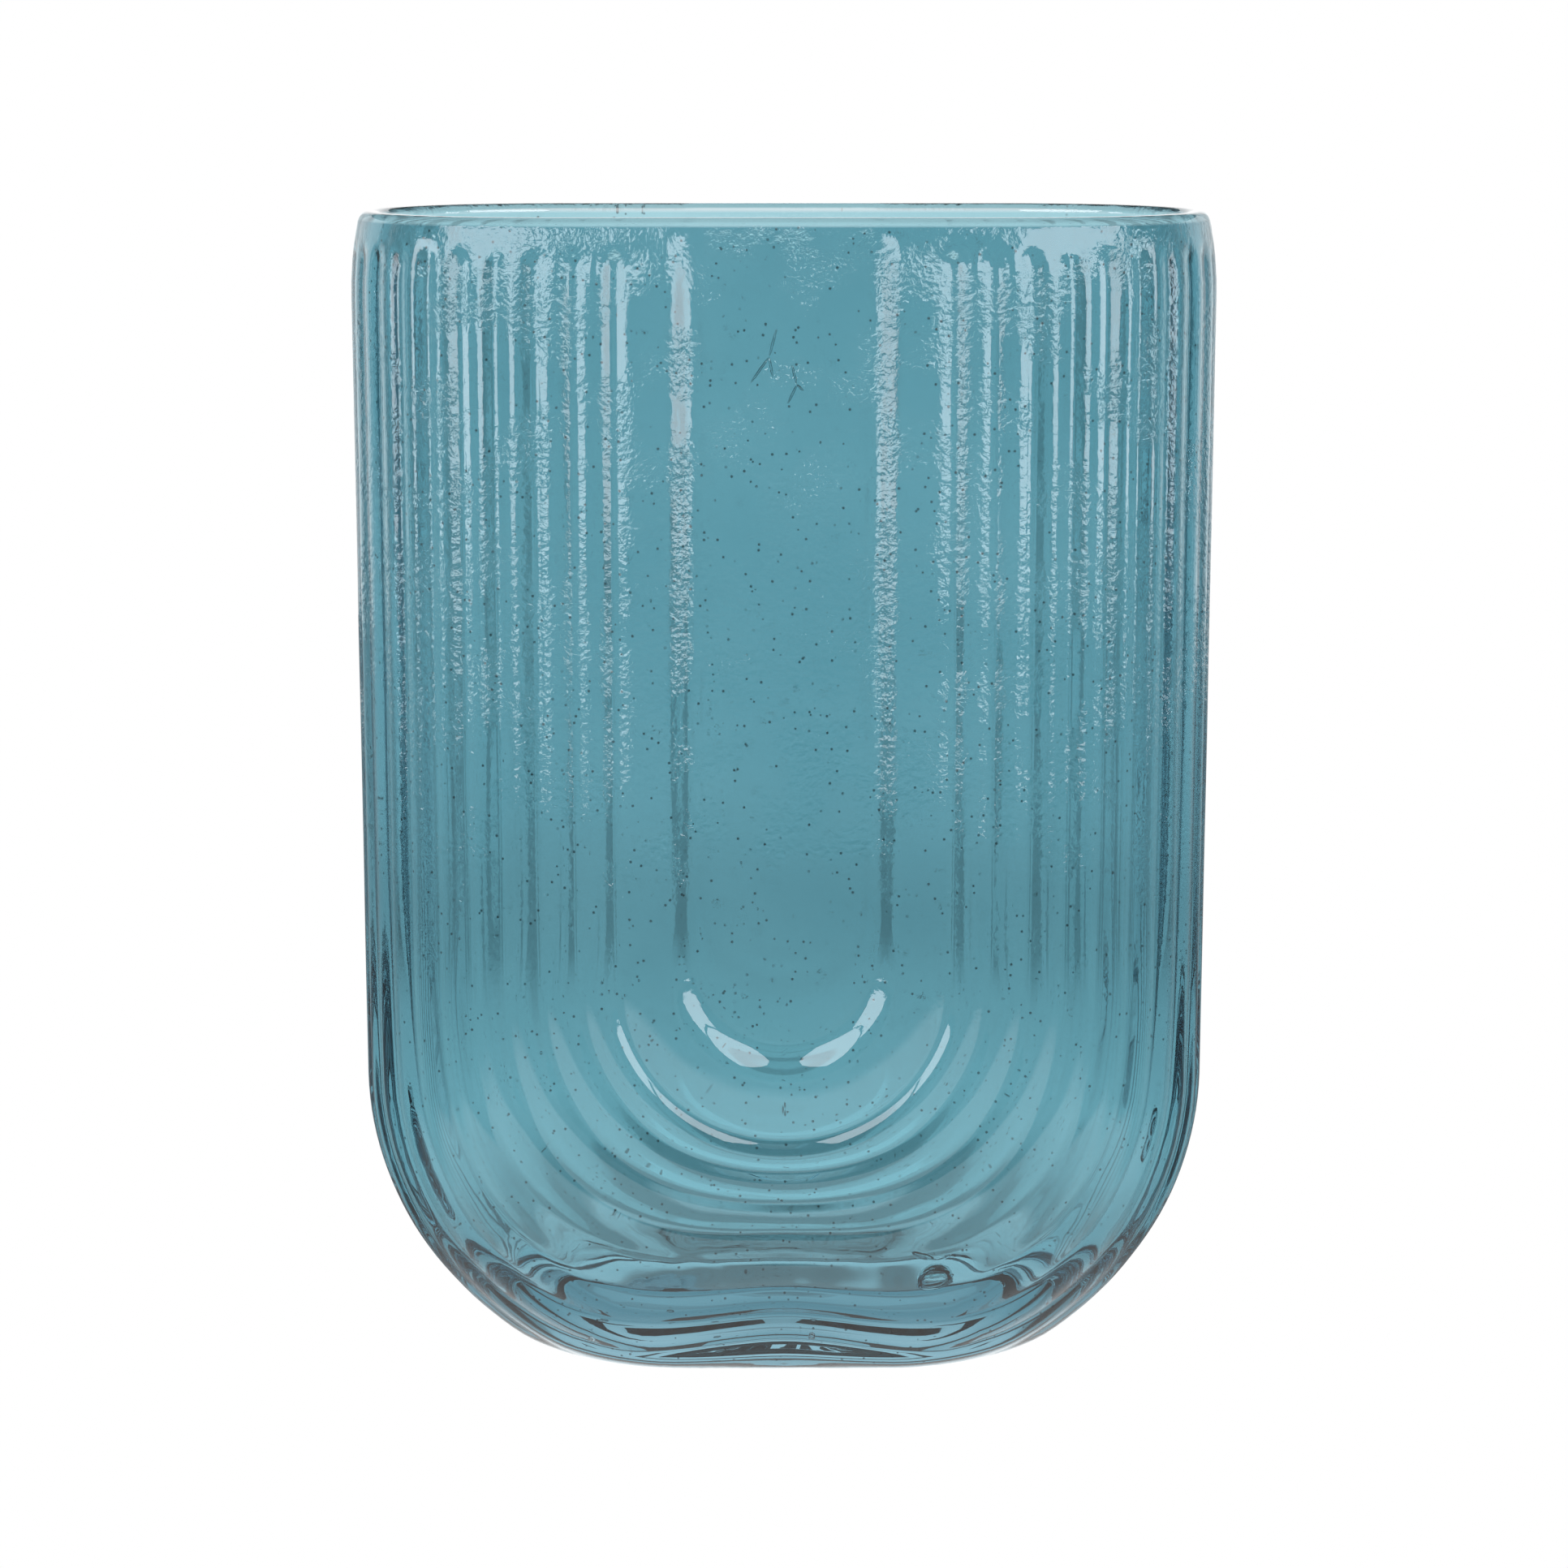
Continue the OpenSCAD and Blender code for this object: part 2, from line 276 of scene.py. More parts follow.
def find(test, lo, hi):
    """The largest values between lo and hi that still pass a test, by halving."""
    for _ in range(HALVINGS):
        middle = (lo + hi) / 2
        passed = test(middle)
        lo, hi = np.where(passed, middle, lo), np.where(passed, hi, middle)
    return (lo + hi) / 2


def ray_end(k, angle):
    """Length of a ray up to the seam or, from the foot's tip on, down to the foot."""
    if k >= TURN_STEPS - 1:
        return FLUTE_Z / math.sin(angle)

    def inside(r):
        x, z = ray(r, angle)
        return x <= half_width(z)
    return float(find(inside, 0.0, SEARCH_R))


def row_end(k, x, z):
    """Last point of a ray's row: on the seam, or on the outline of the foot."""
    if k < TURN_STEPS - 1:
        end = np.array([x, 0, z]) + float(relief(QUARTER, z)) * skin_normal(x, z)
        end[1] = 0
        return end
    if k == TURN_STEPS - 1:
        return np.array([FOOT_A, 0, 0])
    x = foot_x[k - TURN_STEPS]
    return np.array([x, -float(skin_y(x, 0.0)), 0])


def widen(w):
    """How much wider the flutes get past HOLD when a ray's end is w from the panel."""
    return max(1.0, (w - HOLD) / (QUARTER - HOLD))


TIP_WIDEN = widen(float(reach(FOOT_A, 0.0)))


def turned_row(k, angle):
    end = ray_end(k, angle)
    end_x, end_z = ray(end, angle)
    end_w = float(reach(end_x, max(end_z, 0)))
    if k < TURN_STEPS:
        grow = widen(end_w)
    else:
        grow = 1 + (TIP_WIDEN - 1) * (1 - float(ease((angle - TIP) / (np.pi / 2 - TIP))))
    w = np.where(steps < HOLD, steps, HOLD + (steps - HOLD) * grow)
    keep = w < end_w - END_GAP
    keep[[0, LAST]] = False
    kept_w = w[keep]
    longest = np.full_like(kept_w, end)
    r = find(lambda m: reach_along(m, angle) < kept_w, np.zeros_like(kept_w), longest)
    x, z = ray(r, angle)
    z = np.maximum(z, 0)
    row = np.stack([x, -skin_y(x, z), z], -1) + relief(steps[keep], z)[:, None] * skin_normal(x, z)
    row[:, 2] = np.maximum(row[:, 2], 0)
    last = row_end(k, end_x, end_z)
    if k == len(angles) - 1:
        row[:, 0], last[0] = 0, 0
    return np.concatenate([panel_end, row, last[None]])


skin += [turned_row(k, angle) for k, angle in enumerate(angles)]

hollow = [hollow_row(z, inset) for z, inset in rim_edge(HOLLOW_RIM_STEPS)]
hollow += [hollow_row(z) for z in
           np.linspace(HEIGHT - RIM_R, BASE_T + INNER_R, HOLLOW_WALL_STEPS + 1)[1:]]
hollow += [hollow_row(BASE_T + INNER_R * (1 - math.sin(math.pi / 2 * k / HOLLOW_ROUND_STEPS)))
           for k in range(1, HOLLOW_ROUND_STEPS + 1)]

quarter = np.concatenate(skin + hollow)
COUNT = len(quarter)
row_starts = np.concatenate([[0], np.cumsum([len(row) for row in skin])])
HOLLOW_START = int(row_starts[-1])


def on_skin(i, j):
    """Number of a skin point; past a short row's end it is the row's last point."""
    return int(row_starts[i]) + min(j, len(skin[i]) - 1)


def in_hollow(i, j):
    return HOLLOW_START + i * (LAST + 1) + j


def without_repeats(numbers):
    return list(dict.fromkeys(numbers))


def skin_face(i, j):
    if i >= LEVELS - 1 and j == 0:      # every ray starts at the same point
        return [on_skin(i, 0), on_skin(i + 1, 1), on_skin(i, 1)]
    corners = [on_skin(i, j), on_skin(i + 1, j), on_skin(i + 1, j + 1), on_skin(i, j + 1)]
    return without_repeats(corners)


def quarter_faces():
    """The quarter's skin, hollow and rim, as lists of point numbers."""
    faces = [skin_face(i, j) for i in range(len(skin) - 1) for j in range(LAST)]
    faces = [face for face in faces if len(face) > 2]
    faces += [[in_hollow(i, j), in_hollow(i, j + 1), in_hollow(i + 1, j + 1), in_hollow(i + 1, j)]
              for i in range(len(hollow) - 1) for j in range(LAST)]
    faces += [[on_skin(0, j), on_skin(0, j + 1), in_hollow(0, j + 1), in_hollow(0, j)]
              for j in range(LAST)]
    return faces


# All four quarters: right front, left front, left back, right back
MIRRORS = ((1, 1), (-1, 1), (-1, -1), (1, -1))


def full_loop(numbers):
    """A loop through all four quarters from one's numbers, the middle of its front first."""
    right_back = [3 * COUNT + n for n in numbers[-2::-1]]
    left_back = [2 * COUNT + n for n in numbers[1:]]
    left_front = [COUNT + n for n in numbers[-2:0:-1]]
    return numbers + right_back + left_back + left_front


def all_quarters():
    """Points and faces of the whole body, with the foot and the hollow's floor last."""
    points = np.concatenate([quarter * np.array([sx, sy, 1]) for sx, sy in MIRRORS])
    one = quarter_faces()
    faces = []
    for k in range(len(MIRRORS)):
        moved = [[n + k * COUNT for n in face] for face in one]
        faces += moved if k % 2 == 0 else [face[::-1] for face in moved]
    first_foot_row = LEVELS - 1 + TURN_STEPS
    foot = [on_skin(i, LAST) for i in range(len(skin) - 1, first_foot_row - 1, -1)]
    floor = [in_hollow(len(hollow) - 1, j) for j in range(LAST + 1)]
    return points, faces + [full_loop(foot)[::-1], full_loop(floor)]


def weld(points, faces):
    """Points and faces with shared points joined, and where each point first stood."""
    key = np.round(points * WELD).astype(np.int64)
    _, first, number = np.unique(key, axis=0, return_index=True, return_inverse=True)
    number = number.reshape(-1)
    joined = [without_repeats(number[face].tolist()) for face in faces]
    return points[first], [face for face in joined if len(face) > 2], first


def point_normals(points, faces):
    """Normals out of the glass, from the first three points of each face."""
    total = np.zeros_like(points)
    for face in faces:
        a, b, c = points[face[0]], points[face[1]], points[face[2]]
        total[face] += np.cross(b - a, c - a)
    return total / np.maximum(np.linalg.norm(total, axis=1, keepdims=True), 1e-9)


def skin_shift(p):
    """Unevenness of the skin, always inwards so that the size holds; more low down."""
    z = p[:, 2]
    shift = -(SKIN_DIP + SKIN_WAVE * wave_out(p)) * (below(z, *SKIN_TOP) * above(z, *SKIN_FOOT))
    low = LOW_DIP * (1 + LOW_SHARE * wave_low(p)) * above(z, *LOW_FOOT) * below(z, *LOW_TOP)
    return shift - low


def hollow_shift(p):
    """Unevenness of the hollow, both ways, with a shorter wave low down; its floor is flat."""
    z = p[:, 2]
    wave = HOLLOW_WAVE * wave_in(p) * below(z, *HOLLOW_TOP)
    swell = SWELL_WAVE * wave_low(p) * below(z, *SWELL_TOP)
    return np.where(z < BASE_T + FLOOR_MARGIN, 0, wave + swell)


points, faces = all_quarters()
body, body_faces, first = weld(points, faces)
is_hollow = np.tile(np.arange(COUNT) >= HOLLOW_START, len(MIRRORS))[first]
normals = point_normals(body, body_faces[:-2])
body = body + normals * np.where(is_hollow, hollow_shift(body), skin_shift(body))[:, None]


# --------------------------------------------------- gas in the glass, in mm
SEEDS, SEED_R, SEED_R_MORE = 300, 0.09, 0.13
SEED_Z, SEED_SIDE = (14, 192), 0.93
SEED_COVER, SEED_INNER_COVER, SEED_LONGEST = 1.9, 1.0, 1.7

# Larger bubbles low down: (centre, half sizes, turn in radians)
BUBBLES = (
    ((26.0, -26.0, 18.0), (3.4, 2.8, 2.1), 0.3),
    ((24.0, -27.4, 22.2), (2.4, 1.2, 0.7), -0.5),
    ((-31.0, -13.0, 9.4), (1.1, 0.8, 0.6), 0.3),
    ((-12.0, 8.0, 7.2), (0.8, 0.8, 0.6), 0.0),
    ((5.0, -15.0, 8.4), (0.6, 0.5, 0.4), 0.0),
    ((-20.0, 3.0, 10.8), (0.7, 0.6, 0.5), 0.2))

# Two forked gas streaks high in the front panel: (x, z) of the ends of each hair
STREAK_Y, STREAK_R, STREAK_SHARE = -33.4, 0.22, 0.49
FORK_A, FORK_B = (-2.5, 176.8), (2.2, 172.1)
HAIRS = (
    ((-1.2, 181.6), FORK_A), (FORK_A, (-5.6, 172.4)), (FORK_A, (-1.9, 173.3)),
    ((1.3, 175.5), FORK_B), (FORK_B, (0.6, 168.9)), (FORK_B, (3.3, 171.1)))


def unit_ball():
    """An icosahedron with each face split in four: points at radius 1, and triangles."""
    g = (1 + 5 ** 0.5) / 2
    corners = [(-1, g, 0), (1, g, 0), (-1, -g, 0), (1, -g, 0), (0, -1, g), (0, 1, g),
               (0, -1, -g), (0, 1, -g), (g, 0, -1), (g, 0, 1), (-g, 0, -1), (-g, 0, 1)]
    triangles = [(0, 11, 5), (0, 5, 1), (0, 1, 7), (0, 7, 10), (0, 10, 11),
                 (1, 5, 9), (5, 11, 4), (11, 10, 2), (10, 7, 6), (7, 1, 8),
                 (3, 9, 4), (3, 4, 2), (3, 2, 6), (3, 6, 8), (3, 8, 9),
                 (4, 9, 5), (2, 4, 11), (6, 2, 10), (8, 6, 7), (9, 8, 1)]
    ball = [np.array(corner) / np.linalg.norm(corner) for corner in corners]
    middles, split = {}, []

    def middle_of(a, b):
        pair = (min(a, b), max(a, b))
        if pair not in middles:
            m = ball[a] + ball[b]
            ball.append(m / np.linalg.norm(m))
            middles[pair] = len(ball) - 1
        return middles[pair]
    for a, b, c in triangles:
        ab, bc, ca = middle_of(a, b), middle_of(b, c), middle_of(c, a)
        split += [(a, ab, ca), (b, bc, ab), (c, ca, bc), (ab, bc, ca)]
    return np.array(ball), np.array(split)


ball_points, ball_faces = unit_ball()
void_points, void_faces = [], []


def add_void(centre, size, turn=0.0):
    """A gas bubble: a closed inner shell whose faces look into the void."""
    base = sum(len(p) for p in void_points)
    c, s = math.cos(turn), math.sin(turn)
    v = ball_points * np.array(size)
    v = np.stack([v[:, 0] * c - v[:, 2] * s, v[:, 1], v[:, 0] * s + v[:, 2] * c], -1)
    void_points.append(v + np.array(centre))
    void_faces.append(ball_faces[:, ::-1] + base)


def add_seed():
    """A small gas seed inside the wall, two times in three in the front."""
    z = rng.uniform(*SEED_Z)
    w = rng.uniform(0, SEED_SIDE * QUARTER)
    wide, deep = float(half_width(z)), float(half_depth(z))
    flat = wide - deep
    s = w * (flat + deep * math.pi / 2) / QUARTER
    p = min(max((s - flat) / deep, 0), math.pi / 2)
    under_skin = rng.uniform(SEED_COVER, float(wall_at(z)) - SEED_INNER_COVER)
    side = rng.choice([-1, 1])
    front = rng.choice([-1, -1, 1])
    x = (s if s <= flat else flat + deep * math.sin(p)) - under_skin * math.sin(p)
    y = (deep - under_skin) * math.cos(p)
    r = SEED_R + SEED_R_MORE * rng.random() ** 3
    add_void((side * x, front * y, z), (r, r, r * rng.uniform(1.0, SEED_LONGEST)))


def add_hair(start, end):
    """One thin straight stretch of a gas streak."""
    (xa, za), (xb, zb) = start, end
    long_r = math.hypot(xb - xa, zb - za) * STREAK_SHARE
    centre = ((xa + xb) / 2, STREAK_Y, (za + zb) / 2)
    add_void(centre, (long_r, STREAK_R, STREAK_R), math.atan2(zb - za, xb - xa))


for _ in range(SEEDS):
    add_seed()
for bubble in BUBBLES:
    add_void(*bubble)
for hair in HAIRS:
    add_hair(*hair)

# ------------------------------------------------------------ the glass piece
MM = 1000
low_corner = [cad_box[0][0] * MM, cad_box[0][1] * MM, 0]
high_corner = [cad_box[1][0] * MM, cad_box[1][1] * MM, HEIGHT]
all_points = np.clip(np.concatenate([body] + void_points), low_corner, high_corner)
all_faces = list(body_faces)
for face in np.concatenate(void_faces):
    all_faces.append([int(n) + len(body) for n in face])

mesh = bpy.data.meshes.new("vase_glass")
mesh.from_pydata((all_points / MM).tolist(), [], all_faces)
mesh.validate()
mesh.update()
vase = bpy.data.objects.new("vase_glass", mesh)
bpy.context.scene.collection.objects.link(vase)
mesh.polygons.foreach_set("use_smooth", [True] * len(mesh.polygons))
mesh.set_sharp_from_angle(angle=math.radians(SHARP_ANGLE))
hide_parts("glass_body")
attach(vase, "root")

# The coat is 1 on the outside, and 0 in the hollow, on the rim and round bubbles
coat = np.zeros(len(all_points))
coat[:len(body)] = np.where(is_hollow | (body[:, 2] > HEIGHT - RIM_R + RIM_MARGIN), 0, 1)
mesh.attributes.new("coat", "FLOAT", "POINT").data.foreach_set("value", coat)


# ---------------------------------------------------------- nodes, in general
def new_material(name):
    material = bpy.data.materials.new(name)
    material.use_nodes = True
    material.node_tree.nodes.clear()
    return material, material.node_tree


def feed(tree, socket, value):
    """Give an input a number or a colour, or link another node's output to it."""
    if isinstance(value, bpy.types.NodeSocket):
        tree.links.new(value, socket)
    else:
        socket.default_value = value


def calc(tree, operation, *values):
    """A Math node on sockets and numbers; returns its output."""
    node = tree.nodes.new("ShaderNodeMath")
    node.operation = operation
    for k, value in enumerate(values):
        feed(tree, node.inputs[k], value)
    return node.outputs["Value"]


def spread(tree, value, lo, hi, at_lo=0.0, at_hi=1.0, curve="LINEAR"):
    """at_lo up to lo, at_hi from hi on, and in between straight or smooth."""
    node = tree.nodes.new("ShaderNodeMapRange")
    node.interpolation_type = curve
    feed(tree, node.inputs["Value"], value)
    for name, number in zip(("From Min", "From Max", "To Min", "To Max"), (lo, hi, at_lo, at_hi)):
        node.inputs[name].default_value = number
    return node.outputs["Result"]


def smooth(tree, value, lo, hi, at_lo, at_hi):
    return spread(tree, value, lo, hi, at_lo, at_hi, "SMOOTHSTEP")


def noise(tree, place, scale, detail):
    node = tree.nodes.new("ShaderNodeTexNoise")
    feed(tree, node.inputs["Vector"], place)
    node.inputs["Scale"].default_value = scale
    node.inputs["Detail"].default_value = detail
    return node.outputs["Fac"]


def cells(tree, place, scale):
    """Distance to the nearest of many scattered points."""
    node = tree.nodes.new("ShaderNodeTexVoronoi")
    feed(tree, node.inputs["Vector"], place)
    node.inputs["Scale"].default_value = scale
    return node.outputs["Distance"]


def colour_ramp(tree, value, *stops):
    """A colour that runs through (position, colour) stops."""
    node = tree.nodes.new("ShaderNodeValToRGB")
    elements = node.color_ramp.elements
    elements[0].position, elements[0].color = stops[0]
    elements[1].position, elements[1].color = stops[-1]
    for position, colour in stops[1:-1]:
        elements.new(position).color = colour
    feed(tree, node.inputs["Fac"], value)
    return node.outputs["Color"]


def mix(tree, share, a, b, blend="MIX"):
    """A colour Mix node, whose colour sockets share names with others, so by number."""
    node = tree.nodes.new("ShaderNodeMix")
    node.data_type = "RGBA"
    node.blend_type = blend
    feed(tree, node.inputs[0], share)
    feed(tree, node.inputs[6], a)
    feed(tree, node.inputs[7], b)
    return node.outputs[2]


def bump(tree, height, strength, distance):
    node = tree.nodes.new("ShaderNodeBump")
    feed(tree, node.inputs["Height"], height)
    feed(tree, node.inputs["Strength"], strength)
    node.inputs["Distance"].default_value = distance
    return node


# ------------------------------------------------------------------ the glass
CLEAR, DEPTH_TINT, DEPTH_DENSITY, IOR = (0.985, 1, 1, 1), (0.45, 0.68, 0.76, 1), 20, 1.5
COAT_DEEP, COAT_PALE = (0.080, 0.245, 0.305, 1), (0.115, 0.300, 0.365, 1)
# Painted light and shade in the coat low down: paler at the very bottom and on the lower body, darker
# in a band above the foot
FOOT_PAINTED_LIGHT, FOOT_PAINTED_SHADE = (0.32, 0.50, 0.56, 1), (0.08, 0.24, 0.295, 1)
LOW_PAINTED_LIGHT = (0.17, 0.44, 0.52, 1)

# Heights in metres, (from, to), that each effect fades over
# The first two: heights over which the painted light and shade low down fades into the coat, and over
# which its colours run
PAINTED_LOW_REACH, PAINTED_FOOT_RAMP = (0.02, 0.085), (0.0, 0.04)
FINE_FROM, FLOOR_TO, UNDERSIDE_TO = (0.06, 0.12), (0.0162, 0.021), (0.0002, 0.0008)
FINE_DEEP, WAVE_DEEP = 0.00022, 0.002


def coat_colour(tree, place, height):
    """The coat: a little cloudy as sprayed colour is, with painted light and shade low down
    (paler at the very bottom, a painted darker band above the foot, paler again on the
    lower body), and with small dark specks in some places."""
    clouds = noise(tree, place, scale=22, detail=3)
    cloudy = colour_ramp(tree, clouds, (0.3, COAT_DEEP), (0.7, COAT_PALE))
    # Painted light and shade by height near the foot, fading into the cloudy coat higher up
    painted_low_shading = colour_ramp(tree, spread(tree, height, *PAINTED_FOOT_RAMP),
                            (0.14, FOOT_PAINTED_LIGHT), (0.28, FOOT_PAINTED_SHADE), (0.5, FOOT_PAINTED_SHADE), (0.85, LOW_PAINTED_LIGHT))
    colour = mix(tree, smooth(tree, height, *PAINTED_LOW_REACH, at_lo=1.0, at_hi=0.0), cloudy, painted_low_shading)
    speck = spread(tree, cells(tree, place, scale=580), lo=0.11, hi=0.17, at_lo=0.12)
    no_specks = spread(tree, noise(tree, place, scale=170, detail=1), lo=0.5, hi=0.57)
    return mix(tree, 1.0, colour, calc(tree, "MAXIMUM", speck, no_specks), "MULTIPLY")


def fine_bumps(tree, place, height, on_coat):
    """Fine bumps in ragged patches on the outside, none near the foot."""
    patches = noise(tree, place, scale=90, detail=2)
    ragged = spread(tree, patches, lo=0.42, hi=0.62, at_lo=0.15)
    strength = calc(tree, "MULTIPLY", ragged, spread(tree, height, *FINE_FROM))
    strength = calc(tree, "MULTIPLY", strength, on_coat)
    return bump(tree, noise(tree, place, scale=900, detail=3), strength, FINE_DEEP)


def slow_waves(tree, place, height, on_coat):
    """A slow wave in the hollow's floor and in the underside."""
    floor = calc(tree, "SUBTRACT", 1.0, on_coat)
    floor = calc(tree, "MULTIPLY", floor, spread(tree, height, *FLOOR_TO, at_lo=1.0, at_hi=0.0))
    underside = spread(tree, height, *UNDERSIDE_TO, at_lo=0.8, at_hi=0.0)
    swell = noise(tree, place, scale=75, detail=2)
    return bump(tree, swell, calc(tree, "MAXIMUM", floor, underside), WAVE_DEEP)


def teal_glass(name):
    """Faintly teal glass with a translucent teal colour coat on the outside."""
    material, tree = new_material(name)
    surface = tree.nodes.new("ShaderNodeBsdfPrincipled")
    surface.inputs["Transmission Weight"].default_value = 1.0
    surface.inputs["IOR"].default_value = IOR
    surface.inputs["Roughness"].default_value = 0.0
    surface.inputs["Base Color"].default_value = CLEAR
    depth = tree.nodes.new("ShaderNodeVolumeAbsorption")
    depth.inputs["Color"].default_value = DEPTH_TINT
    depth.inputs["Density"].default_value = DEPTH_DENSITY
    place = tree.nodes.new("ShaderNodeTexCoord").outputs["Object"]
    split = tree.nodes.new("ShaderNodeSeparateXYZ")
    tree.links.new(place, split.inputs["Vector"])
    height = split.outputs["Z"]
    attribute = tree.nodes.new("ShaderNodeAttribute")
    attribute.attribute_name = "coat"
    on_coat = attribute.outputs["Fac"]
    fine = fine_bumps(tree, place, height, on_coat)
    slow = slow_waves(tree, place, height, on_coat)
    tree.links.new(fine.outputs["Normal"], slow.inputs["Normal"])
    tree.links.new(slow.outputs["Normal"], surface.inputs["Normal"])
    colour = mix(tree, on_coat, CLEAR, coat_colour(tree, place, height))
    tree.links.new(colour, surface.inputs["Base Color"])
    output = tree.nodes.new("ShaderNodeOutputMaterial")
    tree.links.new(surface.outputs["BSDF"], output.inputs["Surface"])
    tree.links.new(depth.outputs["Volume"], output.inputs["Volume"])
    return material


mesh.materials.append(teal_glass("teal_glass"))

# ------------------------------------------------- the stage, in metres
# Each sheet is seen only in the ways it is told: directly, mirrored or through glass
REAR, WALL_TOP, FLOOR_HALF = 1.2, 0.6, 9
SIDES = 24
FLOOR_Z, TABLE_Z = -0.0002, -0.0001
MIRRORED_SIDES = range(7, 17)       # the backdrops behind the vase
# Painted light and shade in the paper's glow: lanes with dim gaps between them, and brighter far out
LANES, DIM, REAR_LEAST, FAR = 8, 0.2, 0.62, 1.25
# Painted pools of light in front of the vase: on the table seen mirrored, and on the paper seen
# through the glass
TABLE_GLOW, TABLE_POOL_LIGHT, PAPER_POOL_LIGHT = 0.25, 1.25, 0.6
# Painted shadow of the vase close behind it and under its foot
BEHIND_SHADE, UNDER_SHADE = 0.7, 0.4
NO_GAPS, FAR_FROM = (0.22, 0.45), (0.35, 0.8)       # distances from the vase
STRAIGHT_BEHIND = (0.72, 0.86)                      # y over that distance
POOL_EDGE = (0.6, 1.0)                             # share of the way to a front patch's outline

# Patches of painted light and painted shadow on the floor: (y of the centre, half width, half depth)
PAPER_POOL_OVAL, TABLE_POOL_OVAL = (-0.14, 0.30, 0.16), (-0.14, 0.30, 0.18)
BEHIND_PATCH, UNDER_PATCH = (0.065, 0.075, 0.05), (0, 0.042, 0.022)
SOFTBOX_R, SOFTBOX_GLOW, DUSK = 0.95, 6.5, 0.06

# Softboxes on each side: name, then corners as (azimuth in degrees, height)
SOFTBOXES = (
    ("low", (26, 0.06), (41, 0.05), (42, 0.25), (22, 0.25)),
    ("wing", (74, 0.045), (84, 0.045), (84, 0.36), (72, 0.36)),
    ("high", (9, 0.25), (62, 0.25), (70, 0.62), (5, 0.62)))


def emitter(name):
    """A material that only glows, and its Emission node."""
    material, tree = new_material(name)
    glow = tree.nodes.new("ShaderNodeEmission")
    output = tree.nodes.new("ShaderNodeOutputMaterial")
    tree.links.new(glow.outputs["Emission"], output.inputs["Surface"])
    return material, tree, glow


def even_white(name, rgb, power):
    material, _, glow = emitter(name)
    glow.inputs["Color"].default_value = (*rgb, 1)
    glow.inputs["Strength"].default_value = power
    return material


def oval(tree, x, y, centre_y, half_x, half_y):
    """0 in the middle of an oval on the floor, 1 on its outline, and more outside."""
    a = calc(tree, "DIVIDE", x, half_x)
    b = calc(tree, "DIVIDE", calc(tree, "SUBTRACT", y, centre_y), half_y)
    squares = calc(tree, "ADD", calc(tree, "MULTIPLY", a, a), calc(tree, "MULTIPLY", b, b))
    return calc(tree, "SQRT", squares)


def paper_lanes(tree, x, y, out):
    """Painted light and shade: bright lanes with dim gaps between them, no gaps close to the
    vase, and less dim ones straight behind it."""
    turn = calc(tree, "MULTIPLY", calc(tree, "ARCTAN2", x, y), LANES)
    lanes = smooth(tree, calc(tree, "COSINE", turn), lo=-1.0, hi=-0.5, at_lo=DIM, at_hi=1.0)
    close = smooth(tree, out, *NO_GAPS, at_lo=1.0, at_hi=0.0)
    lanes = calc(tree, "MAXIMUM", lanes, close)
    behind = smooth(tree, calc(tree, "DIVIDE", y, out), *STRAIGHT_BEHIND, at_lo=0.0, at_hi=REAR_LEAST)
    return calc(tree, "MAXIMUM", lanes, behind)


def painted_studio_light(name, mirrored=False):
    """White with painted light and shade: a painted pool of light in front, brighter far out,
    and painted shadow close behind the vase and under it. Paper has lanes; the mirrored table
    is even, with a painted pool of light in front."""
    material, tree, glow = emitter(name)
    where = tree.nodes.new("ShaderNodeNewGeometry")
    split = tree.nodes.new("ShaderNodeSeparateXYZ")
    tree.links.new(where.outputs["Position"], split.inputs["Vector"])
    x, y = split.outputs["X"], split.outputs["Y"]
    out = oval(tree, x, y, 0, 1, 1)
    if mirrored:
        lanes = TABLE_GLOW
        # A painted pool of light in front of the vase
        front = smooth(tree, oval(tree, x, y, *TABLE_POOL_OVAL), *POOL_EDGE, at_lo=TABLE_POOL_LIGHT, at_hi=0.0)
    else:
        lanes = paper_lanes(tree, x, y, out)
        front = smooth(tree, oval(tree, x, y, *PAPER_POOL_OVAL), *POOL_EDGE, at_lo=PAPER_POOL_LIGHT, at_hi=0.0)
    # Painted light: brighter far out
    far = smooth(tree, out, *FAR_FROM, at_lo=1.0, at_hi=FAR)
    # Painted shadow close behind the vase
    behind = oval(tree, x, y, *BEHIND_PATCH)
    behind = smooth(tree, behind, lo=0.5, hi=1.0, at_lo=BEHIND_SHADE, at_hi=1.0)
    # Painted shadow under the foot
    under = oval(tree, x, y, *UNDER_PATCH)
    under = smooth(tree, under, lo=0.65, hi=1.0, at_lo=UNDER_SHADE, at_hi=1.0)
    total = calc(tree, "MULTIPLY", calc(tree, "MULTIPLY", lanes, far), behind)
    total = calc(tree, "MULTIPLY", calc(tree, "ADD", total, front), under)
    tree.links.new(total, glow.inputs["Strength"])
    return material


def stage_sheet(name, corners, material, seen):
    """A flat sheet, seen directly, mirrored in the glass, or through it, as told."""
    sheet = bpy.data.meshes.new(name)
    sheet.from_pydata(corners, [], [list(range(len(corners)))])
    sheet.update()
    sheet.materials.append(material)
    ob = bpy.data.objects.new(name, sheet)
    bpy.context.scene.collection.objects.link(ob)
    ob.visible_camera = "direct" in seen
    ob.visible_glossy = "mirror" in seen
    ob.visible_transmission = "through" in seen


def polar(radius, azimuth, z):
    """A point round the vase; azimuth 0 is in front, positive to the right."""
    a = math.radians(azimuth)
    return (radius * math.sin(a), -radius * math.cos(a), z)


def disc(z):
    return [polar(REAR, 360 / SIDES * k, z) for k in range(SIDES)]


